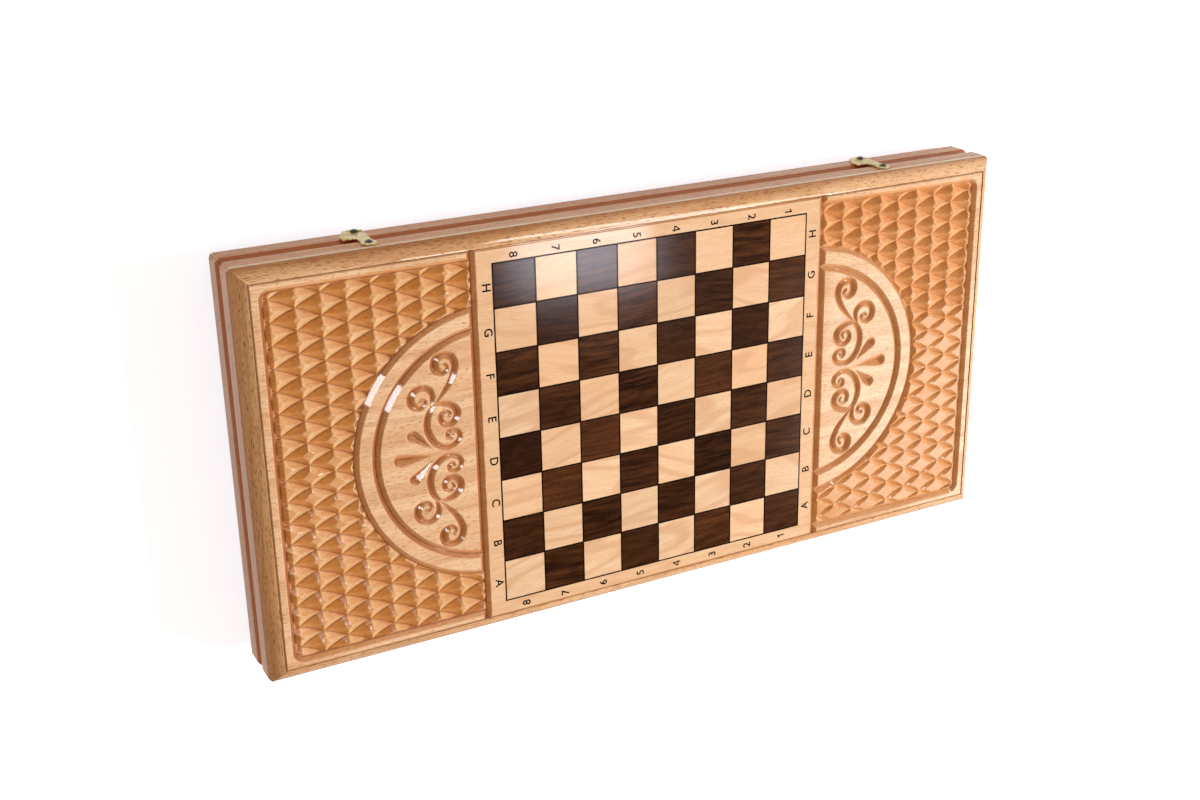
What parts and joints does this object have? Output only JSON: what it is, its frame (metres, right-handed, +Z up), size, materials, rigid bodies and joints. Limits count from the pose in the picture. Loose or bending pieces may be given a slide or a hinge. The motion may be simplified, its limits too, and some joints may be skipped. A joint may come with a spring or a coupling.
{
  "type": "folding backgammon and chess box",
  "caption": "Folding wooden game case: backgammon field inside, chess field and carved wings on the lid, brass hinges and hook latches.",
  "frame": {"origin": "centre of the outer face of the base's panel, on the table, with the case lying closed", "axes": "+X along the case's length, +Y from the latches towards the hinges, +Z up through the base and the lid"},
  "size_m": [0.593, 0.296, 0.058],
  "materials": {
    "beech": "satin varnish",
    "carved_beech": "satin varnish, carved",
    "pale_veneer": "satin varnish",
    "dark_veneer": "satin varnish",
    "red_veneer": "satin varnish",
    "brass": "bright, thin plated",
    "steel": "bright drawn wire",
    "screw_steel": "browned"
  },
  "bodies": {
    "base": {"base_rail_front": "beech", "base_rail_back": "beech", "base_rail_left": "beech", "base_rail_right": "beech", "base_panel": "carved_beech", "base_field": "pale_veneer", "base_points_dark": "dark_veneer", "base_points_light": "red_veneer", "hinge_left_base_leaf": "brass", "hinge_left_pin": "steel", "hinge_right_base_leaf": "brass", "hinge_right_pin": "steel", "hinge_screws_base": "brass", "latch_left_catch_screw": "screw_steel", "latch_right_catch_screw": "screw_steel"},
    "lid": {"lid_rail_front": "beech", "lid_rail_back": "beech", "lid_rail_left": "beech", "lid_rail_right": "beech", "lid_panel": "carved_beech", "lid_field": "pale_veneer", "lid_points_dark": "dark_veneer", "lid_points_light": "red_veneer", "chess_border": "pale_veneer", "chess_lines": "dark_veneer", "chess_squares_dark": "dark_veneer", "chess_squares_light": "pale_veneer", "hinge_left_lid_leaf": "brass", "hinge_right_lid_leaf": "brass", "hinge_screws_lid": "brass", "latch_left_pivot_screw": "screw_steel", "latch_right_pivot_screw": "screw_steel"},
    "latch_left": {"latch_left_hook": "brass"},
    "latch_right": {"latch_right_hook": "brass"}
  },
  "joints": [
    {"name": "lid_hinge", "type": "hinge", "parent": "base", "child": "lid", "pos_m": [0, 0.1452, 0.029], "axis": [-1, 0, 0], "range_deg": [0, 180]},
    {"name": "latch_left_pivot", "type": "hinge", "parent": "lid", "child": "latch_left", "pos_m": [-0.202, -0.145, 0.043], "axis": [0, -1, 0], "range_deg": [0, 95]},
    {"name": "latch_right_pivot", "type": "hinge", "parent": "lid", "child": "latch_right", "pos_m": [0.202, -0.145, 0.043], "axis": [0, -1, 0], "range_deg": [0, 95]}
  ]
}
